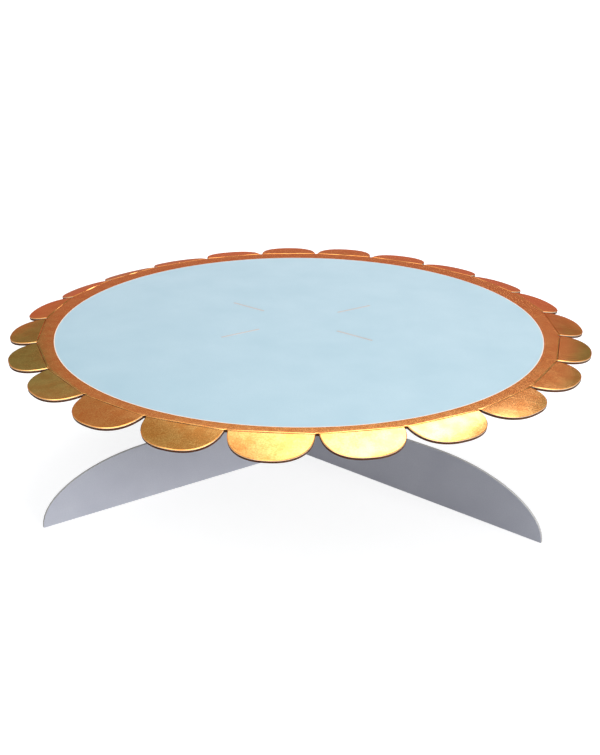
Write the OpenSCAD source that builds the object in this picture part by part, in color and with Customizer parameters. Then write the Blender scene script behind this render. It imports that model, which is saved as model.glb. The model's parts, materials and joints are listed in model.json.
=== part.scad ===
// Flat-packed card cake stand.
// A round plate with a gold foil rim and fold-down petals stands on two leg
// boards that cross in a halving joint and carry tabs into slits in the plate.
// Origin: on the table, under the middle of the plate. +Z is up, -Y is the front.
// All sizes are in millimetres and all angles in degrees.

/* [Plate] */
// Height of the plate's top face above the table
stand_h = 78; // [64:1:110]
// Diameter of the blue printed face
face_d = 252; // [210:1:340]
// Width of the foil rim, from the blue face out to the petal corners
rim_w = 9; // [7.5:0.5:20]
// Distance that the blue face is printed off centre, toward the front
face_shift = 3; // [0:0.5:3]

/* [Petals] */
// Number of petals round the plate
petal_count = 23; // [19:1:29]
// Length of a petal from its crease to its tip
petal_len = 15.8; // [8:0.2:24]
// Squareness of a petal's outline: 2 is an ellipse, more is squarer
petal_squareness = 2.3; // [2:0.1:4]
// Turn of the ring of petals about the plate's axis
petal_turn = -2; // [-8:0.5:8]
// Mean angle that the petals are folded down
fold_mean = 8.5; // [8.5:0.5:25]
// Rise and fall of the fold round the plate, in three waves
fold_wave = 6; // [0:0.5:6]
// Extra fold on the front left of the plate, taken off the back right
fold_lean = 2.5; // [0:0.5:2.5]
// Radius of the relief hole punched at each petal corner
relief_r = 0.8; // [0.4:0.1:1.6]
// Width of the cut that opens each crease on its upper side
crease_gap = 0.1; // [0.05:0.05:0.4]

/* [Card] */
// Thickness of the grey board in the middle of the card
core_t = 1.2; // [0.8:0.1:3]
// Thickness of the paper or foil on each side of the board
paper_t = 0.15; // [0.1:0.05:0.4]

/* [Leg boards] */
// Length of a leg board from tip to tip
leg_len = 295; // [240:1:360]
// Height of the low shoulder of a leg board
foot_h = 30; // [20:1:40]
// Length of the rounded toe at each end of a leg board
toe_len = 60; // [30:1:66]
// Width of the column in the middle of a leg board, under the plate
column_w = 112; // [100:1:126]
// Width of the curve that leads from the shoulder up to the column
sweep_w = 14; // [4:1:16]
// Angle between the two leg boards, seen from the front
cross_angle = 108; // [75:1:115]
// Width of each tab that stands in the plate
tab_w = 22; // [12:1:30]
// Distance from the stand's axis to the middle of each tab
tab_r = 36; // [24:1:38]
// Clearance on each side of a board in a slot or a slit
slot_gap = 0.15; // [0.1:0.05:0.4]
// Play left at the end of the halving slots, so that both boards touch the table
lap_play = 0.2; // [0.1:0.1:1]

/* [Hidden] */
board_t = core_t + 2 * paper_t;
seat_h = stand_h - board_t;

// The petals leave the plate at the sides of a regular polygon
petal_pitch = 360 / petal_count;
corner_r = face_d / 2 + rim_w;
crease_r = corner_r * cos(petal_pitch / 2);
petal_half_w = corner_r * sin(petal_pitch / 2) - relief_r;
outline_steps = 28;

// Angles are measured from the front (-Y) round toward +X
function petal_angle(i) = petal_turn + (i - 1) * petal_pitch;
wave_peak = -2;
lean_peak = -47;
function fold_angle(i) =
    fold_mean
    + fold_wave * cos(3 * (petal_angle(i) - wave_peak))
    + fold_lean * cos(petal_angle(i) - lean_peak);

// Half of a superellipse, from one end of the crease round the tip to the other
function root_power(v) = sign(v) * pow(abs(v), 2 / petal_squareness);
function petal_outline() = [
    for (s = [0 : outline_steps])
        let (a = 180 * s / outline_steps)
            [petal_len * root_power(sin(a)), -petal_half_w * root_power(cos(a))]
];

// A board that leaves one slot at an angle needs more room than its thickness
slot_w = board_t * (1 + abs(cos(cross_angle))) / sin(cross_angle) + 2 * slot_gap;
slit_w = board_t + 2 * slot_gap;
lap_h = seat_h / 2;

sweep_h = (seat_h - foot_h) * 0.75;
toe_x = leg_len / 2 - toe_len;
column_x = column_w / 2;
curve_steps = 16;

function petal_name(i) = str("petal_", i < 10 ? "0" : "", i);
plate_nodes = ["plate_core", "plate_backing_paper", "gold_foil_rim", "blue_face_paper"];
leg_nodes = [
    "lower_leg_core", "lower_leg_front_paper", "lower_leg_back_paper",
    "upper_leg_core", "upper_leg_front_paper", "upper_leg_back_paper"
];

// Plate -------------------------------------------------------------------

module plate_outline() {
    difference() {
        polygon([
            for (i = [1 : petal_count])
                let (a = petal_angle(i) + petal_pitch / 2 - 90)
                    corner_r * [cos(a), sin(a)]
        ]);
        for (i = [1 : petal_count])
            rotate(petal_angle(i) + petal_pitch / 2 - 90)
                translate([corner_r, 0])
                    circle(r = relief_r, $fn = 24);
    }
}

module face_outline() {
    translate([0, -face_shift])
        circle(d = face_d, $fn = 180);
}

// One slit for each tab of both leg boards
module tab_slits() {
    for (side = [-1, 1], end = [-1, 1])
        rotate(side * cross_angle / 2 - 90)
            translate([end * tab_r, 0])
                square([tab_w + 2 * slot_gap, slit_w], center = true);
}

module plate_backing_paper() {
    color("white")
        translate([0, 0, seat_h])
            linear_extrude(paper_t)
                difference() {
                    plate_outline();
                    tab_slits();
                }
}

module plate_core() {
    color("tan")
        translate([0, 0, seat_h + paper_t])
            linear_extrude(core_t)
                difference() {
                    plate_outline();
                    tab_slits();
                }
}

module gold_foil_rim() {
    color("peru")
        translate([0, 0, stand_h - paper_t])
            linear_extrude(paper_t)
                difference() {
                    plate_outline();
                    face_outline();
                }
}

module blue_face_paper() {
    color("lightblue")
        translate([0, 0, stand_h - paper_t])
            linear_extrude(paper_t)
                difference() {
                    face_outline();
                    tab_slits();
                }
}

// Petals ------------------------------------------------------------------

// Each petal turns about the lower edge of the card along its crease
module petal(i) {
    color("goldenrod")
        rotate(petal_angle(i) - 90)
            translate([crease_r, 0, seat_h])
                rotate([0, fold_angle(i), 0])
                    translate([crease_gap, 0, 0])
                        linear_extrude(board_t)
                            polygon(petal_outline());
}

// Leg boards --------------------------------------------------------------

function toe_curve() = [
    for (s = [0 : curve_steps])
        let (a = 90 * s / curve_steps)
            [toe_x + toe_len * cos(a), foot_h * sin(a)]
];
function sweep_curve() = [
    for (s = [0 : curve_steps])
        let (a = 90 * s / curve_steps)
            [column_x + sweep_w * (1 - sin(a)), foot_h + sweep_h * (1 - cos(a))]
];
function column_top() = [
    [column_x, seat_h],
    [tab_r + tab_w / 2, seat_h], [tab_r + tab_w / 2, stand_h],
    [tab_r - tab_w / 2, stand_h], [tab_r - tab_w / 2, seat_h]
];

function mirrored(points) = [for (n = [len(points) - 1 : -1 : 0]) [-points[n].x, points[n].y]];

// slot_low and slot_high are the heights between which the board is cut through
module leg_outline(slot_low, slot_high) {
    right_side = concat(toe_curve(), sweep_curve(), column_top());
    difference() {
        polygon(concat(right_side, mirrored(right_side)));
        translate([-slot_w / 2, slot_low])
            square([slot_w, slot_high - slot_low]);
    }
}

// Stands a layer of card upright along its board. side is -1 for the board that
// comes to the front on the left and 1 for the right; layer_y and layer_t place
// the layer within the card
module leg_layer(side, layer_y, layer_t) {
    rotate(side * cross_angle / 2 - 90)
        translate([0, layer_y + layer_t, 0])
            rotate([90, 0, 0])
                linear_extrude(layer_t)
                    children();
}

// The lower board is slotted from its top edge and the upper one from its foot
module lower_layer(layer_y, layer_t) {
    leg_layer(-1, layer_y, layer_t)
        leg_outline(lap_h, stand_h + 1);
}

module upper_layer(layer_y, layer_t) {
    leg_layer(1, layer_y, layer_t)
        leg_outline(-1, lap_h + lap_play);
}

module lower_leg_core() {
    color("darkgray")
        lower_layer(-core_t / 2, core_t);
}

module lower_leg_front_paper() {
    color("gainsboro")
        lower_layer(core_t / 2, paper_t);
}

module lower_leg_back_paper() {
    color("gainsboro")
        lower_layer(-board_t / 2, paper_t);
}

module upper_leg_core() {
    color("darkgray")
        upper_layer(-core_t / 2, core_t);
}

module upper_leg_front_paper() {
    color("gainsboro")
        upper_layer(-board_t / 2, paper_t);
}

module upper_leg_back_paper() {
    color("gainsboro")
        upper_layer(core_t / 2, paper_t);
}

// Assembly ----------------------------------------------------------------

plate_core();
plate_backing_paper();
gold_foil_rim();
blue_face_paper();
lower_leg_core();
lower_leg_front_paper();
lower_leg_back_paper();
upper_leg_core();
upper_leg_front_paper();
upper_leg_back_paper();
for (i = [1 : petal_count])
    petal(i);
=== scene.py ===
import json
import math

import bmesh
import bpy
from mathutils import Euler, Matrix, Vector


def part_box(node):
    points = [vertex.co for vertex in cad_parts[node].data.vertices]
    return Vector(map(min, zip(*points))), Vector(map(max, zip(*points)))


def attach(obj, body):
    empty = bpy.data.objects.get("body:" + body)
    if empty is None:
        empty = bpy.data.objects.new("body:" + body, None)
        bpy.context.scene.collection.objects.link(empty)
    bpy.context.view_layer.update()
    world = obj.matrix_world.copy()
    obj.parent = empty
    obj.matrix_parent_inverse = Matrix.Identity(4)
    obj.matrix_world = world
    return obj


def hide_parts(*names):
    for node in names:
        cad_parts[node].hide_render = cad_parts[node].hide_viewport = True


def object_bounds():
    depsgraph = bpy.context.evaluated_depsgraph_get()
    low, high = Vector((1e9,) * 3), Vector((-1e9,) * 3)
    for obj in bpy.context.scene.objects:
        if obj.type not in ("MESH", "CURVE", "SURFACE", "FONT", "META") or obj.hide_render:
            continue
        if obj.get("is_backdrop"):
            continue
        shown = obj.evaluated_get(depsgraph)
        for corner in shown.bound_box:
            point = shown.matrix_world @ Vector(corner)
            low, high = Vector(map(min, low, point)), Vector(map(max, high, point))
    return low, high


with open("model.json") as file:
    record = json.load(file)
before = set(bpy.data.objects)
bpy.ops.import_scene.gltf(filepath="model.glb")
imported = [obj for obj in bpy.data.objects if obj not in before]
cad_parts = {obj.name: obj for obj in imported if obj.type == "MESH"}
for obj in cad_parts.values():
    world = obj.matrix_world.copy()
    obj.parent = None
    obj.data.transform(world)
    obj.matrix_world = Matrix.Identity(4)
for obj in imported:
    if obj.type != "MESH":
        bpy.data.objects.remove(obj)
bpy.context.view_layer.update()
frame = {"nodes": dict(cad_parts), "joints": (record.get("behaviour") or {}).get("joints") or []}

MM = 0.001
scene = bpy.context.scene


# ---- Camera -----------------------------------------------------------------
# A camera close over the front edge of the plate, a little to the right of the
# middle, looking down at the blue face. Everything is aimed from that face.

face_low, face_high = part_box("blue_face_paper")
face_centre = (face_low + face_high) / 2
face_radius = (face_high.x - face_low.x) / 2
plate_top = face_high.z

# Reach and rise are counted in radii of the blue face, the lens in millimetres
CAMERA_REACH = 3.633
CAMERA_RISE = 1.292
CAMERA_TURN = math.radians(2.7)
CAMERA_PITCH = math.radians(23.02)
CAMERA_YAW = math.radians(0.08)
CAMERA_ROLL = math.radians(0.33)
LENS = 43.69
SENSOR = 36
NEAREST = 0.01
FARTHEST = 400

camera_data = bpy.data.cameras.new("camera")
camera_data.lens = LENS
camera_data.sensor_width = SENSOR
camera_data.sensor_fit = "AUTO"
camera_data.clip_start = NEAREST
camera_data.clip_end = FARTHEST
camera = bpy.data.objects.new("camera", camera_data)
camera.location = (
    face_centre.x + face_radius * CAMERA_REACH * math.sin(CAMERA_TURN),
    face_centre.y - face_radius * CAMERA_REACH * math.cos(CAMERA_TURN),
    plate_top + face_radius * CAMERA_RISE,
)
aim = Euler((math.pi / 2 - CAMERA_PITCH, 0, CAMERA_TURN - CAMERA_YAW), "XYZ").to_matrix()
camera.rotation_euler = (aim @ Euler((0, 0, CAMERA_ROLL)).to_matrix()).to_euler()
scene.collection.objects.link(camera)
scene.camera = camera


# ---- Floor and light --------------------------------------------------------
# A white seamless floor under soft light: a large softbox behind the stand, a key
# low at the front right and weaker fills round it. Foil and sheen see a dim,
# warm room with one bright window of light instead of the bare lamps.

def linear(code):
    """The linear colour of an sRGB hex code such as "c0623a", with alpha 1."""
    channels = [int(code[i : i + 2], 16) / 255 for i in (0, 2, 4)]
    return (*[c / 12.92 if c <= 0.04045 else ((c + 0.055) / 1.055) ** 2.4 for c in channels], 1)


def add(tree, kind, feeds=None, **settings):
    """Adds a node. settings are its properties. feeds maps its inputs to plain values, to
    sockets, or to nodes, whose first output is taken."""
    node = tree.nodes.new(kind)
    for name, value in settings.items():
        setattr(node, name, value)
    for name, feed in (feeds or {}).items():
        if isinstance(feed, bpy.types.Node):
            feed = feed.outputs[0]
        if isinstance(feed, bpy.types.NodeSocket):
            tree.links.new(feed, node.inputs[name])
        else:
            node.inputs[name].default_value = feed
    return node


def set_ramp(node, stops):
    """Gives a colour ramp its (position, colour) stops."""
    ramp = node.color_ramp
    while len(ramp.elements) > 1:
        ramp.elements.remove(ramp.elements[-1])
    ramp.elements[0].position, ramp.elements[0].color = stops[0]
    for position, colour in stops[1:]:
        ramp.elements.new(position).color = colour


def sine(angle):
    """The sine of an angle in degrees."""
    return math.sin(math.radians(angle))


def on_ramp(angle):
    """Where an angle in degrees falls on a ramp that runs over its sine, from -90 to 90."""
    return 0.5 + 0.5 * sine(angle)


scene.view_settings.view_transform = "Standard"
scene.view_settings.look = "None"

world = bpy.data.worlds.new("studio")
world.use_nodes = True
tree = world.node_tree
tree.nodes.clear()
direction = add(tree, "ShaderNodeTexCoord").outputs["Generated"]
axes = add(tree, "ShaderNodeSeparateXYZ", {0: direction})
rise = add(
    tree, "ShaderNodeMath", {0: axes.outputs["Z"], 1: 0.5, 2: 0.5}, operation="MULTIPLY_ADD"
)
level_part = add(
    tree, "ShaderNodeVectorMath", {0: direction, 1: (1, 1, 0)}, operation="MULTIPLY"
)
heading = add(tree, "ShaderNodeVectorMath", {0: level_part}, operation="NORMALIZE")
heading_axes = add(tree, "ShaderNodeSeparateXYZ", {0: heading})

# The light of the room by elevation in degrees. It is warm straight ahead and
# straight behind, greyer to each side of that, and lighter still farther round.
WARM_WALL = (
    (-90, (0.34, 0.20, 0.15)), (-6, (0.42, 0.19, 0.13)), (1, (0.54, 0.17, 0.10)),
    (6, (0.55, 0.20, 0.14)), (15, (0.46, 0.21, 0.14)), (22, (0.43, 0.23, 0.15)),
    (27, (0.50, 0.36, 0.28)), (36, (0.44, 0.28, 0.20)), (52, (0.36, 0.37, 0.25)),
    (90, (0.70, 0.66, 0.60)),
)
GREY_WALL = (
    (-90, (0.34, 0.20, 0.15)), (-6, (0.40, 0.18, 0.13)), (1, (0.54, 0.17, 0.10)),
    (8, (0.47, 0.18, 0.11)), (13, (0.50, 0.25, 0.14)), (16, (0.19, 0.21, 0.10)),
    (22, (0.17, 0.23, 0.12)), (27, (0.27, 0.36, 0.25)), (36, (0.43, 0.26, 0.20)),
    (52, (0.36, 0.37, 0.25)), (90, (0.70, 0.66, 0.60)),
)
LIGHT_WALL = (
    (-90, (0.36, 0.26, 0.20)), (-6, (0.44, 0.28, 0.20)), (6, (0.55, 0.42, 0.33)),
    (18, (0.66, 0.58, 0.48)), (30, (0.95, 0.90, 0.80)), (50, (1.35, 1.30, 1.15)),
    (90, (0.70, 0.66, 0.60)),
)
# How far to the left the warm wall is centred, and the angles to each side over
# which one wall gives way to the next, all in degrees
WARM_SHIFT = 1
GREY_FROM = (17.5, 20.5)
LIGHT_FROM = (33, 50)
aside = add(
    tree, "ShaderNodeMath", {0: heading_axes.outputs["X"], 1: sine(WARM_SHIFT)}, operation="ADD"
)
sideways = add(tree, "ShaderNodeMath", {0: aside}, operation="ABSOLUTE")
walls = []
for lights in (WARM_WALL, GREY_WALL, LIGHT_WALL):
    wall = add(tree, "ShaderNodeValToRGB", {0: rise})
    set_ramp(wall, [(on_ramp(elevation), (*light, 1)) for elevation, light in lights])
    walls.append(wall)
room = walls[0]
for wall, (begins, ends) in zip(walls[1:], (GREY_FROM, LIGHT_FROM)):
    beside = add(
        tree, "ShaderNodeMapRange",
        {"Value": sideways, "From Min": sine(begins), "From Max": sine(ends)},
        interpolation_type="SMOOTHSTEP",
    )
    mix = add(tree, "ShaderNodeMix", {0: beside, 6: room, 7: wall}, data_type="RGBA")
    room = mix.outputs[2]

# The window of light is behind the stand. Its strength goes by the angle to the
# right and by the elevation in degrees, and it peaks a little to the right.
WINDOW_PEAK = 6.5
WINDOW_TINT = (1.0, 0.98, 0.93)
WINDOW_ACROSS = (
    (-24, 0.0), (-16, 0.09), (-13, 0.15), (-10, 0.23), (-7, 0.36), (0, 0.42), (8, 0.50),
    (10, 0.62), (12, 0.82), (14, 0.98), (15, 0.92), (16, 0.78), (17, 0.56), (18, 0.36),
    (19, 0.18), (21, 0.0),
)
WINDOW_UP = ((20, 0.0), (25, 0.01), (30, 0.03), (36, 1.0), (68, 1.0), (80, 0.0))
sidestep = add(
    tree, "ShaderNodeMath", {0: heading_axes.outputs["X"], 1: 0.5, 2: 0.5},
    operation="MULTIPLY_ADD",
)
window = add(
    tree, "ShaderNodeMath", {0: heading_axes.outputs["Y"], 1: 0.0}, operation="GREATER_THAN"
)
for place, strengths in ((sidestep, WINDOW_ACROSS), (rise, WINDOW_UP)):
    fade = add(tree, "ShaderNodeValToRGB", {0: place})
    set_ramp(fade, [(on_ramp(angle), (part, part, part, 1)) for angle, part in strengths])
    window = add(tree, "ShaderNodeVectorMath", {0: window, 1: fade}, operation="MULTIPLY")

# A broad light above the camera, which the foil's pressed edges catch as a pale line.
# It fades in with the heading's Y as that turns to the front, and with the elevation.
FRONT_PEAK = 2.4
FRONT_TURN = (-0.3, -0.8)
FRONT_UP = (30, 38)
in_front = add(
    tree, "ShaderNodeMapRange",
    {"Value": heading_axes.outputs["Y"], "From Min": FRONT_TURN[0], "From Max": FRONT_TURN[1],
     "To Max": FRONT_PEAK / WINDOW_PEAK},
)
overhead = add(
    tree, "ShaderNodeMapRange",
    {"Value": axes.outputs["Z"], "From Min": sine(FRONT_UP[0]), "From Max": sine(FRONT_UP[1])},
)
front = add(tree, "ShaderNodeMath", {0: in_front, 1: overhead}, operation="MULTIPLY")
both_lights = add(tree, "ShaderNodeVectorMath", {0: window, 1: front}, operation="ADD")
peak = [WINDOW_PEAK * part for part in WINDOW_TINT]
lit_room = add(
    tree, "ShaderNodeVectorMath", {0: both_lights, 1: peak, 2: room}, operation="MULTIPLY_ADD"
)

# Matt surfaces take an even soft light, and the floor meets plain white behind
SOFT_LIGHT = (0.43, 0.45, 0.48, 1)
WHITE = (1, 1, 1, 1)
path = add(tree, "ShaderNodeLightPath")
reflected = add(
    tree, "ShaderNodeMix", {0: path.outputs["Is Glossy Ray"], 6: SOFT_LIGHT, 7: lit_room},
    data_type="RGBA",
)
sky = add(
    tree, "ShaderNodeMix", {0: path.outputs["Is Camera Ray"], 6: reflected.outputs[2], 7: WHITE},
    data_type="RGBA",
)
background = add(tree, "ShaderNodeBackground", {"Color": sky.outputs[2], "Strength": 1.0})
add(tree, "ShaderNodeOutputWorld", {"Surface": background})
scene.world = world


def softbox(name, azimuth, elevation, distance, width, height, radiance, colour=(1, 1, 1)):
    """A rectangular light aimed at the plate. azimuth turns from +Y toward +X, in degrees."""
    data = bpy.data.lights.new(name, "AREA")
    data.shape = "RECTANGLE"
    data.size = width
    data.size_y = height
    data.energy = radiance * math.pi * width * height
    data.color = colour
    lamp = bpy.data.objects.new(name, data)
    a, e = math.radians(azimuth), math.radians(elevation)
    away = Vector((math.sin(a) * math.cos(e), math.cos(a) * math.cos(e), math.sin(e)))
    lamp.location = Vector((0, 0, plate_top)) + away * distance
    lamp.rotation_euler = away.to_track_quat("Z", "Y").to_euler()
    lamp.visible_glossy = False
    scene.collection.objects.link(lamp)


softbox(
    "back_softbox", azimuth=10, elevation=54, distance=1.6, width=0.95, height=1.10,
    radiance=4.6, colour=(1.0, 0.98, 0.95),
)
softbox(
    "front_key", azimuth=130, elevation=18, distance=1.6, width=1.0, height=0.7, radiance=7.0
)
softbox(
    "front_left_box", azimuth=215, elevation=52, distance=1.8, width=1.0, height=0.8, radiance=1.7
)
softbox(
    "back_left_fill", azimuth=-50, elevation=16, distance=1.8, width=1.0, height=0.8, radiance=2.2
)
softbox(
    "back_right_fill", azimuth=50, elevation=16, distance=1.8, width=1.0, height=0.8, radiance=1.4
)

FLOOR_HALF = 60
floor_mesh = bpy.data.meshes.new("floor")
corners = [(x * FLOOR_HALF, y * FLOOR_HALF, 0) for x, y in ((-1, -1), (1, -1), (1, 1), (-1, 1))]
floor_mesh.from_pydata(corners, [], [(0, 1, 2, 3)])
floor = bpy.data.objects.new("floor", floor_mesh)
scene.collection.objects.link(floor)

# Matt white seamless paper. It glows a little by itself, as paper lit from below
# does, and more so away from the stand.
GLOW_NEAR = 0.76
GLOW_FAR = 0.92
GLOW_REACH = (0.2, 0.9)
floor_paper = bpy.data.materials.new("white_seamless_paper")
floor_paper.use_nodes = True
tree = floor_paper.node_tree
tree.nodes.clear()
matt = add(tree, "ShaderNodeBsdfDiffuse", {"Color": linear("adadad")})
seen = add(tree, "ShaderNodeLightPath").outputs["Is Camera Ray"]
place = add(tree, "ShaderNodeTexCoord").outputs["Object"]
distance = add(tree, "ShaderNodeVectorMath", {0: place}, operation="LENGTH").outputs["Value"]
spread = add(
    tree, "ShaderNodeMapRange",
    {"Value": distance, "From Min": GLOW_REACH[0], "From Max": GLOW_REACH[1],
     "To Min": GLOW_NEAR, "To Max": GLOW_FAR},
)
strength = add(tree, "ShaderNodeMath", {0: seen, 1: spread}, operation="MULTIPLY")
glow = add(tree, "ShaderNodeEmission", {"Strength": strength})
lit_paper = add(tree, "ShaderNodeAddShader", {0: matt, 1: glow})
add(tree, "ShaderNodeOutputMaterial", {"Surface": lit_paper})
floor_mesh.materials.append(floor_paper)
floor.visible_glossy = False
floor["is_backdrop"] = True


# ---- Leg boards -------------------------------------------------------------
# Two pieces of pale pressed board, faced on both sides with grey paper and die-cut.
# Each is slotted to its middle, so that one drops over the other. The die leaves
# the paper's cut edges very slightly rounded.

WELD_DISTANCE = 0.002 * MM
FLAT_WITHIN = math.radians(0.3)


def weld(source, name):
    """A copy of a CAD node's mesh with its loose triangles joined and flat areas made whole."""
    mesh = source.data.copy()
    mesh.name = name
    shape = bmesh.new()
    shape.from_mesh(mesh)
    bmesh.ops.remove_doubles(shape, verts=shape.verts, dist=WELD_DISTANCE)
    bmesh.ops.dissolve_limit(
        shape, angle_limit=FLAT_WITHIN, verts=shape.verts, edges=shape.edges
    )
    shape.to_mesh(mesh)
    shape.free()
    return mesh


ROUNDING_SEGMENTS = 2
CORNER_ANGLE = math.radians(40)


def card_piece(node, name, material, body, rounding=0.0):
    """Stands a copy of a CAD node's card in its place, in one material. rounding is the width
    by which the die rounded its edges."""
    mesh = weld(frame["nodes"][node], name)
    mesh.materials.clear()
    mesh.materials.append(material)
    piece = bpy.data.objects.new(name, mesh)
    scene.collection.objects.link(piece)
    if rounding:
        bevel = piece.modifiers.new("die_rounding", "BEVEL")
        bevel.width = rounding
        bevel.segments = ROUNDING_SEGMENTS
        bevel.limit_method = "ANGLE"
        bevel.angle_limit = CORNER_ANGLE
        bevel.use_clamp_overlap = True
    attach(piece, body)
    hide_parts(node)


def principled(material):
    """The shader of a material, with nodes on."""
    material.use_nodes = True
    return material.node_tree.nodes["Principled BSDF"]


# Real fibres are a tenth of this width, and are drawn as coarse as they need to show
FIBRE_SIZE = 0.45 * MM
CLOUD_SIZE = 22 * MM
TOOTH_HEIGHT = 0.02 * MM


def smooth_paper(name, colour, shade, roughness):
    """Smooth paper: a fine fibre mottle in its colour, and a faint tooth to the touch."""
    material = bpy.data.materials.new(name)
    shader = principled(material)
    tree = material.node_tree
    place = add(tree, "ShaderNodeTexCoord").outputs["Object"]
    fibres = add(
        tree, "ShaderNodeTexNoise",
        {"Vector": place, "Scale": 1 / FIBRE_SIZE, "Detail": 4.0, "Roughness": 0.65},
    )
    cloud = add(tree, "ShaderNodeTexNoise", {"Vector": place, "Scale": 1 / CLOUD_SIZE, "Detail": 2.0})
    mottle = add(tree, "ShaderNodeMath", {0: fibres, 1: cloud}, operation="MULTIPLY")
    tint = add(tree, "ShaderNodeValToRGB", {0: mottle})
    set_ramp(tint, ((0.12, linear(shade)), (0.40, linear(colour))))
    tree.links.new(tint.outputs[0], shader.inputs["Base Color"])
    shader.inputs["Roughness"].default_value = roughness
    tooth = add(
        tree, "ShaderNodeBump", {"Strength": 0.35, "Distance": TOOTH_HEIGHT, "Height": fibres}
    )
    tree.links.new(tooth.outputs[0], shader.inputs["Normal"])
    return material


PLY_THICKNESS = 0.28 * MM
FLECK_SIZE = 0.5 * MM
FUZZ_HEIGHT = 0.06 * MM
BOARD_ROUGHNESS = 0.9
BOARD_SHEEN = 0.2


def board_edge(name, dark, pale, layer_axis=None):
    """Pressed board seen on its cut edge: thin plies with flecks. The plies lie across
    layer_axis, or without one they go by the depth that the mesh itself holds."""
    material = bpy.data.materials.new(name)
    shader = principled(material)
    tree = material.node_tree
    place = add(tree, "ShaderNodeTexCoord").outputs["Object"]
    if layer_axis:
        across = add(tree, "ShaderNodeVectorMath", {0: place, 1: layer_axis}, operation="DOT_PRODUCT")
        depth = across.outputs["Value"]
    else:
        depth = add(tree, "ShaderNodeAttribute", attribute_name="depth").outputs["Fac"]
    plies = add(
        tree, "ShaderNodeTexNoise", {"W": depth, "Scale": 1 / PLY_THICKNESS, "Detail": 3.0},
        noise_dimensions="1D",
    )
    flecks = add(tree, "ShaderNodeTexNoise", {"Vector": place, "Scale": 1 / FLECK_SIZE, "Detail": 5.0})
    grain = add(tree, "ShaderNodeMath", {0: plies, 1: flecks}, operation="MULTIPLY")
    tint = add(tree, "ShaderNodeValToRGB", {0: grain})
    set_ramp(tint, ((0.12, linear(dark)), (0.42, linear(pale))))
    tree.links.new(tint.outputs[0], shader.inputs["Base Color"])
    shader.inputs["Roughness"].default_value = BOARD_ROUGHNESS
    shader.inputs["Specular IOR Level"].default_value = BOARD_SHEEN
    fuzz = add(tree, "ShaderNodeBump", {"Strength": 0.6, "Distance": FUZZ_HEIGHT, "Height": grain})
    tree.links.new(fuzz.outputs[0], shader.inputs["Normal"])
    return material


# Calendered pale grey paper: soft sheen, cool tint
leg_paper = smooth_paper("calendered_grey_paper", "d5d8e2", "c8cbd7", 0.42)
PAPER_ROUNDING = 0.06 * MM

for board, side in (("lower", -1), ("upper", 1)):
    low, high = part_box(f"{board}_leg_core")
    lean = math.atan2(high.y - low.y, high.x - low.x)
    # Pale pressed board: dull and flecked, in plies that lie along the leg
    layer_axis = (math.sin(lean), side * math.cos(lean), 0)
    core = board_edge(f"{board}_leg_white_board", "a9a6a3", "dcdad6", layer_axis)
    card_piece(f"{board}_leg_core", f"{board}_leg_board", core, f"{board}_leg")
    for face in ("front", "back"):
        card_piece(
            f"{board}_leg_{face}_paper", f"{board}_leg_{face}_facing", leg_paper,
            f"{board}_leg", PAPER_ROUNDING,
        )


# ---- Plate board ------------------------------------------------------------
# One round of brown grey board with white paper glued under it. Its outline is
# straight at every crease, with a small relief hole punched at each corner.

# Brown grey board of pressed waste paper: dull and flecked, in flat plies
BROWN_DARK = "3d2418"
BROWN_PALE = "7d5238"
plate_board = board_edge("plate_grey_board", BROWN_DARK, BROWN_PALE, (0, 0, 1))
# Uncoated white backing paper: matt, off-white
backing_paper = smooth_paper("white_backing_paper", "f2f1ee", "e6e4df", 0.75)
card_piece("plate_core", "plate_board", plate_board, "plate")
card_piece(
    "plate_backing_paper", "plate_backing", backing_paper, "plate", PAPER_ROUNDING
)


# ---- Foil rim ---------------------------------------------------------------
# Gold foil paper glued round the board. The scoring presses its edge down at each
# crease, where it catches a thin line of light.

petal_joints = [joint for joint in frame["joints"] if joint["child"].startswith("petal_")]
petal_pitch = 2 * math.pi / len(petal_joints)
crease_reach = Vector(petal_joints[0]["pos_m"]).xy.length
corner_reach = crease_reach / math.cos(petal_pitch / 2)
half_side = crease_reach * math.tan(petal_pitch / 2)
RELIEF_RADIUS = 0.8 * MM
SIDE_STEPS = 8
BITE_STEPS = 6


def plate_outline(inset):
    """Points round the plate, inset from its cut: each crease, then the hole at its corner."""
    bite = RELIEF_RADIUS + inset
    notch = math.sqrt(bite**2 - inset**2)
    points = []
    for joint in petal_joints:
        crease = Vector(joint["pos_m"]).xy
        out = crease.normalized()
        side = Vector((-out.y, out.x))
        for step in range(SIDE_STEPS + 1):
            slide = (half_side - notch) * (2 * step / SIDE_STEPS - 1)
            points.append(out * (crease_reach - inset) + side * slide)
        corner_angle = math.atan2(out.y, out.x) + petal_pitch / 2
        corner = corner_reach * Vector((math.cos(corner_angle), math.sin(corner_angle)))
        opening = (points[-1] - corner).angle(-corner)
        for step in range(1, BITE_STEPS):
            turn = corner_angle + math.pi + opening * (1 - 2 * step / BITE_STEPS)
            points.append(corner + bite * Vector((math.cos(turn), math.sin(turn))))
    return points


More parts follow.
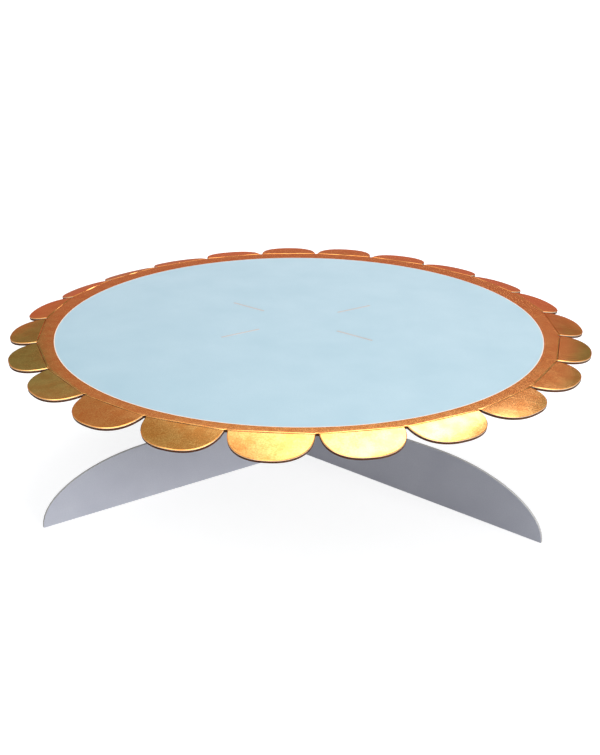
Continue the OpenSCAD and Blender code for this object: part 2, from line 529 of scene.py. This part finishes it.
# Metallised gold paper, satin: a mirror softened by the board's grain, in faint
# swells. The grain is drawn coarser than it is, so that it shows.
GRAIN_SIZE = 0.7 * MM
GRAIN_HEIGHT = 0.004 * MM
SWELL_SIZE = 6 * MM
SWELL_HEIGHT = 0.05 * MM
FOIL_ROUGHNESS = 0.17
FOIL_SPREAD = 0.04
gold_foil = bpy.data.materials.new("satin_gold_foil")
shader = principled(gold_foil)
tree = gold_foil.node_tree
place = add(tree, "ShaderNodeTexCoord").outputs["Object"]
grain = add(tree, "ShaderNodeTexNoise", {"Vector": place, "Scale": 1 / GRAIN_SIZE, "Detail": 4.0})
swell = add(tree, "ShaderNodeTexNoise", {"Vector": place, "Scale": 1 / SWELL_SIZE, "Detail": 2.0})
polish = add(
    tree, "ShaderNodeMapRange",
    {"Value": grain, "From Min": 0.3, "From Max": 0.7,
     "To Min": FOIL_ROUGHNESS - FOIL_SPREAD, "To Max": FOIL_ROUGHNESS + FOIL_SPREAD},
)
tree.links.new(polish.outputs[0], shader.inputs["Roughness"])
blotch = add(tree, "ShaderNodeMath", {0: grain, 1: swell}, operation="MULTIPLY")
tint = add(tree, "ShaderNodeValToRGB", {0: blotch})
set_ramp(tint, ((0.17, linear("f6a85e")), (0.33, linear("ffc078"))))
tree.links.new(tint.outputs[0], shader.inputs["Base Color"])
shader.inputs["Metallic"].default_value = 1.0
swells = add(
    tree, "ShaderNodeBump", {"Strength": 1.0, "Distance": SWELL_HEIGHT, "Height": swell}
)
ripple = add(
    tree, "ShaderNodeBump",
    {"Strength": 1.0, "Distance": GRAIN_HEIGHT, "Height": grain, "Normal": swells},
)
tree.links.new(ripple.outputs[0], shader.inputs["Normal"])

rim_low, rim_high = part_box("gold_foil_rim")
foil_thickness = rim_high.z - rim_low.z
SHOULDER_WIDTH = 0.7 * MM
SHOULDER_STEPS = 6
SMOOTH_WITHIN = math.radians(50)

# One ring of points below the foil's inner edge, one on it, and the shoulder's rings
outer = plate_outline(0)
headings = [(point - face_centre.xy).normalized() for point in outer]
face_edge = [face_centre.xy + heading * face_radius for heading in headings]
rings = [(face_edge, plate_top - foil_thickness), (face_edge, plate_top)]
for step in range(SHOULDER_STEPS + 1):
    a = step / SHOULDER_STEPS * math.pi / 2
    fall = foil_thickness * (1 - math.cos(a))
    rings.append((plate_outline(SHOULDER_WIDTH * (1 - math.sin(a))), plate_top - fall))
count = len(outer)
verts = [(point.x, point.y, z) for ring, z in rings for point in ring]
faces = []
for row in range(len(rings)):
    next_row = (row + 1) % len(rings)
    for i in range(count):
        j = (i + 1) % count
        faces.append(
            (row * count + i, row * count + j, next_row * count + j, next_row * count + i)
        )
rim_mesh = bpy.data.meshes.new("foil_rim")
rim_mesh.from_pydata(verts, [], faces)
shape = bmesh.new()
shape.from_mesh(rim_mesh)
bmesh.ops.recalc_face_normals(shape, faces=shape.faces)
shape.to_mesh(rim_mesh)
shape.free()
rim_mesh.shade_smooth()
rim_mesh.set_sharp_from_angle(angle=SMOOTH_WITHIN)
rim_mesh.materials.append(gold_foil)
rim = bpy.data.objects.new("foil_rim", rim_mesh)
scene.collection.objects.link(rim)
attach(rim, "plate")
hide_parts("gold_foil_rim")


# ---- Blue face --------------------------------------------------------------
# A round of smooth printed paper, pasted down a little off centre. The print
# stops just short of the cut, so a thin pale margin shows round it.

# Smooth coated paper printed pale blue: soft sheen, with a bare margin of the paper
PRINT_MARGIN = 0.45 * MM
face_print = smooth_paper("printed_blue_paper", "aecbd8", "a4c4d2", 0.38)
tree = face_print.node_tree
place = tree.nodes["Texture Coordinate"].outputs["Object"]
from_middle = add(
    tree, "ShaderNodeVectorMath", {0: place, 1: (*face_centre.xy, 0)}, operation="SUBTRACT"
)
flat = add(tree, "ShaderNodeVectorMath", {0: from_middle, 1: (1, 1, 0)}, operation="MULTIPLY")
reach = add(tree, "ShaderNodeVectorMath", {0: flat}, operation="LENGTH").outputs["Value"]
margin = add(
    tree, "ShaderNodeMath", {0: reach, 1: face_radius - PRINT_MARGIN}, operation="GREATER_THAN"
)
edged = add(
    tree, "ShaderNodeMix", {0: margin, 6: tree.nodes["Color Ramp"], 7: linear("f3e4d4")},
    data_type="RGBA",
)
tree.links.new(edged.outputs[2], tree.nodes["Principled BSDF"].inputs["Base Color"])
card_piece("blue_face_paper", "blue_face", face_print, "plate", PAPER_ROUNDING)


# ---- Petals -----------------------------------------------------------------
# Half-round flaps of the plate's own foil-faced board. Each is cut free round its
# curve and bends down along a scored crease. The die presses a narrow bevel into
# the rim, where the foil's pale paper shows above the brown core. That cream band
# is partly a painted highlight, standing for the line of light the foil's edge catches.

# The pale paper that carries the foil, seen where the die cut it: a matt cream line.
# Its cream is partly a painted highlight along the foil's cut edge
paper_edge_and_highlight = smooth_paper("cut_paper_and_painted_highlight", "fff0d8", "f6e2c4", 0.5)
# The plate's brown board, seen on its cut edge, in plies that bend with the petal
petal_core = board_edge("petal_grey_board", BROWN_DARK, BROWN_PALE)

# The bevel and the line of paper are drawn coarser than they are, so that they show;
# the paper line's depth also carries its painted highlight
seat_height = petal_joints[0]["pos_m"][2]
petal_sizes = {
    "Half width": half_side - RELIEF_RADIUS,
    "Length": 15.8 * MM,
    "Squareness": 2.3,
    "Thickness": plate_top - seat_height,
    "Bevel width": 0.32 * MM,
    "Bevel depth": 0.26 * MM,
    "Paper and highlight depth": 0.22 * MM,
    "Bow": 0.70 * MM,
    "Droop": 0.30 * MM,
    "Crease gap": 0.02 * MM,
    "Crease reach": crease_reach,
    "Seat height": seat_height,
    "Fold": 0.0,
    "Turn": 0.0,
}
petal_tree = bpy.data.node_groups.new("folded_petal", "GeometryNodeTree")
socket_id = {}
for name, value in petal_sizes.items():
    socket = petal_tree.interface.new_socket(name, in_out="INPUT", socket_type="NodeSocketFloat")
    socket.default_value = value
    socket_id[name] = socket.identifier
petal_tree.interface.new_socket("Petal", in_out="OUTPUT", socket_type="NodeSocketGeometry")
sizes = petal_tree.nodes.new("NodeGroupInput").outputs

# The petal is a grid wrapped into a closed solid. Its X runs round the outline,
# with the curve first and the crease last. Its Y runs from the middle of the upper
# face over the rim to the middle of the lower face, with one step for the bevel and
# one for the line of paper with its painted highlight.
OUTLINE_STEPS = 72
CURVE_SHARE = 0.75
FACE_STEPS = 8
CORE_STEPS = 3
PROFILE_STEPS = FACE_STEPS + 1 + 1 + CORE_STEPS + FACE_STEPS
FACE_END = FACE_STEPS / PROFILE_STEPS
BEVEL_END = (FACE_STEPS + 1) / PROFILE_STEPS
PAPER_HIGHLIGHT_END = (FACE_STEPS + 2) / PROFILE_STEPS
CORE_END = (FACE_STEPS + 2 + CORE_STEPS) / PROFILE_STEPS
grid = add(
    petal_tree, "GeometryNodeMeshGrid",
    {"Size X": 1.0, "Size Y": 1.0, "Vertices X": OUTLINE_STEPS + 1,
     "Vertices Y": PROFILE_STEPS + 1},
)
centred = add(petal_tree, "GeometryNodeInputPosition")
place = add(petal_tree, "ShaderNodeVectorMath", {0: centred, 1: (0.5, 0.5, 0.0)}, operation="ADD")
place_axes = add(petal_tree, "ShaderNodeSeparateXYZ", {0: place})
along = place_axes.outputs["X"]
down = place_axes.outputs["Y"]

# The outline: a half superellipse of a sine and a cosine, then back along the crease
sweep = add(
    petal_tree, "ShaderNodeMapRange",
    {"Value": along, "From Max": CURVE_SHARE, "To Max": math.pi},
)
power = add(petal_tree, "ShaderNodeMath", {0: 2.0, 1: sizes["Squareness"]}, operation="DIVIDE")
squared = []
for wave in ("SINE", "COSINE"):
    pull = add(petal_tree, "ShaderNodeMath", {0: sweep}, operation=wave)
    way = add(petal_tree, "ShaderNodeMath", {0: pull}, operation="SIGN")
    size = add(petal_tree, "ShaderNodeMath", {0: pull}, operation="ABSOLUTE")
    bulge = add(petal_tree, "ShaderNodeMath", {0: size, 1: power}, operation="POWER")
    squared.append(add(petal_tree, "ShaderNodeMath", {0: bulge, 1: way}, operation="MULTIPLY"))
back = add(
    petal_tree, "ShaderNodeMapRange", {"Value": along, "From Min": CURVE_SHARE, "To Max": 2.0}
)
sideways = add(petal_tree, "ShaderNodeMath", {0: squared[1], 1: back}, operation="ADD")
unit_edge = add(petal_tree, "ShaderNodeCombineXYZ", {"X": squared[0], "Y": sideways})
extent = add(petal_tree, "ShaderNodeCombineXYZ", {"X": sizes["Length"], "Y": sizes["Half width"]})
edge = add(petal_tree, "ShaderNodeVectorMath", {0: unit_edge, 1: extent}, operation="MULTIPLY")

# The profile: spokes from a middle point out to the outline, less the bevel's width
CENTRE_SHARE = 0.42
centre = add(
    petal_tree, "ShaderNodeVectorMath", {0: extent, 1: (CENTRE_SHARE, 0.0, 0.0)},
    operation="MULTIPLY",
)
spoke = add(petal_tree, "ShaderNodeVectorMath", {0: edge, 1: centre}, operation="SUBTRACT")
spoke_length = add(
    petal_tree, "ShaderNodeVectorMath", {0: spoke}, operation="LENGTH"
).outputs["Value"]
inset = add(
    petal_tree, "ShaderNodeMapRange",
    {"Value": down, "From Min": FACE_END, "From Max": BEVEL_END, "To Min": sizes["Bevel width"],
     "To Max": 0.0},
)
cut_length = add(petal_tree, "ShaderNodeMath", {0: spoke_length, 1: inset}, operation="SUBTRACT")
reach = add(petal_tree, "ShaderNodeMath", {0: cut_length, 1: spoke_length}, operation="DIVIDE")
out_above = add(petal_tree, "ShaderNodeMapRange", {"Value": down, "From Max": FACE_END})
back_below = add(
    petal_tree, "ShaderNodeMapRange",
    {"Value": down, "From Min": CORE_END, "To Min": 1.0, "To Max": 0.0},
)
for share in (out_above, back_below):
    reach = add(petal_tree, "ShaderNodeMath", {0: reach, 1: share}, operation="MULTIPLY")
flat = add(
    petal_tree, "ShaderNodeVectorMath", {0: spoke, 1: reach, 2: centre}, operation="MULTIPLY_ADD"
)

# The height falls from layer to layer down the rim
foil_depth = add(
    petal_tree, "ShaderNodeMath", {0: sizes["Bevel depth"], 1: sizes["Paper and highlight depth"]},
    operation="ADD",
)
core_depth = add(
    petal_tree, "ShaderNodeMath", {0: sizes["Thickness"], 1: foil_depth}, operation="SUBTRACT"
)
height = sizes["Thickness"]
for begin, end, layer_depth in (
    (FACE_END, BEVEL_END, sizes["Bevel depth"]),
    (BEVEL_END, PAPER_HIGHLIGHT_END, sizes["Paper and highlight depth"]),
    (PAPER_HIGHLIGHT_END, CORE_END, core_depth),
):
    fall = add(
        petal_tree, "ShaderNodeMapRange",
        {"Value": down, "From Min": begin, "From Max": end, "To Max": layer_depth},
    )
    height = add(petal_tree, "ShaderNodeMath", {0: height, 1: fall}, operation="SUBTRACT")

# The card is bowed up between crease and tip, and droops toward the sides of the tip
unit_place = add(petal_tree, "ShaderNodeVectorMath", {0: flat, 1: extent}, operation="DIVIDE")
unit_axes = add(petal_tree, "ShaderNodeSeparateXYZ", {0: unit_place})
outward = unit_axes.outputs["X"]
to_tip = add(petal_tree, "ShaderNodeMath", {0: 1.0, 1: outward}, operation="SUBTRACT")
arch = add(petal_tree, "ShaderNodeMath", {0: outward, 1: to_tip}, operation="MULTIPLY")
raised = add(
    petal_tree, "ShaderNodeMath", {0: arch, 1: sizes["Bow"], 2: height}, operation="MULTIPLY_ADD"
)
aside = unit_axes.outputs["Y"]
aside_squared = add(petal_tree, "ShaderNodeMath", {0: aside, 1: aside}, operation="MULTIPLY")
corner = add(petal_tree, "ShaderNodeMath", {0: aside_squared, 1: outward}, operation="MULTIPLY")
droop = add(petal_tree, "ShaderNodeMath", {0: corner, 1: sizes["Droop"]}, operation="MULTIPLY")
sheet = add(petal_tree, "ShaderNodeMath", {0: raised, 1: droop}, operation="SUBTRACT")
lift = add(petal_tree, "ShaderNodeCombineXYZ", {"X": sizes["Crease gap"], "Z": sheet})
point = add(petal_tree, "ShaderNodeVectorMath", {0: flat, 1: lift}, operation="ADD")

# The mesh keeps its depth in the card and its place down the profile for its
# materials. Along the crease the foil runs on over the edge, so nothing below it
# shows there.
depth_kept = add(
    petal_tree, "GeometryNodeStoreNamedAttribute",
    {"Geometry": grid, "Name": "depth", "Value": height},
    data_type="FLOAT", domain="POINT",
)
on_curve = add(petal_tree, "ShaderNodeMath", {0: along, 1: CURVE_SHARE}, operation="LESS_THAN")
below = add(petal_tree, "ShaderNodeMath", {0: down, 1: CORE_END}, operation="GREATER_THAN")
cut_free = add(petal_tree, "ShaderNodeMath", {0: on_curve, 1: below}, operation="MAXIMUM")
profile = add(petal_tree, "ShaderNodeMath", {0: down, 1: cut_free}, operation="MULTIPLY")
profile_kept = add(
    petal_tree, "GeometryNodeStoreNamedAttribute",
    {"Geometry": depth_kept, "Name": "profile", "Value": profile},
    data_type="FLOAT", domain="FACE",
)
shaped = add(petal_tree, "GeometryNodeSetPosition", {"Geometry": profile_kept, "Position": point})
closed = add(
    petal_tree, "GeometryNodeMergeByDistance", {"Geometry": shaped, "Distance": 0.001 * MM}
)

# The petal is folded at its crease, then turned to its place round the plate
fold = add(petal_tree, "ShaderNodeCombineXYZ", {"Y": sizes["Fold"]})
crease_place = add(
    petal_tree, "ShaderNodeCombineXYZ", {"X": sizes["Crease reach"], "Z": sizes["Seat height"]}
)
folded = add(
    petal_tree, "GeometryNodeTransform",
    {"Geometry": closed, "Translation": crease_place, "Rotation": fold},
)
turn = add(petal_tree, "ShaderNodeCombineXYZ", {"Z": sizes["Turn"]})
turned = add(petal_tree, "GeometryNodeTransform", {"Geometry": folded, "Rotation": turn})
real = add(petal_tree, "GeometryNodeRealizeInstances", {"Geometry": turned})
kept = add(petal_tree, "GeometryNodeInputNamedAttribute", {"Name": "profile"}, data_type="FLOAT")
coloured = add(
    petal_tree, "GeometryNodeSetMaterial", {"Geometry": real, "Material": gold_foil}
)
# Past the bevel comes the cream paper band, which carries a painted highlight
for begin, material in (
    (BEVEL_END, paper_edge_and_highlight), (PAPER_HIGHLIGHT_END, petal_core), (CORE_END, backing_paper)
):
    past = add(
        petal_tree, "ShaderNodeMath", {0: kept.outputs["Attribute"], 1: begin},
        operation="GREATER_THAN",
    )
    coloured = add(
        petal_tree, "GeometryNodeSetMaterial",
        {"Geometry": coloured, "Selection": past, "Material": material},
    )
add(petal_tree, "NodeGroupOutput", {0: coloured})

for joint in petal_joints:
    crease = Vector(joint["pos_m"])
    petal_sizes["Fold"] = -math.radians(joint["range_deg"][0])
    petal_sizes["Turn"] = math.atan2(crease.y, crease.x)
    name = joint["child"].replace("petal", "foil_petal")
    petal = bpy.data.objects.new(name, bpy.data.meshes.new(name))
    scene.collection.objects.link(petal)
    maker = petal.modifiers.new("folded_petal", "NODES")
    maker.node_group = petal_tree
    for size_name, value in petal_sizes.items():
        maker[socket_id[size_name]] = value
    made = bpy.data.meshes.new_from_object(
        petal.evaluated_get(bpy.context.evaluated_depsgraph_get())
    )
    petal.modifiers.clear()
    petal.data = made
    made.name = name
    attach(petal, joint["child"])
    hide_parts(joint["child"])


# ---- Size -------------------------------------------------------------------
# The box round every shown piece of the stand, in metres, leaving out the floor.

low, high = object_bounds()
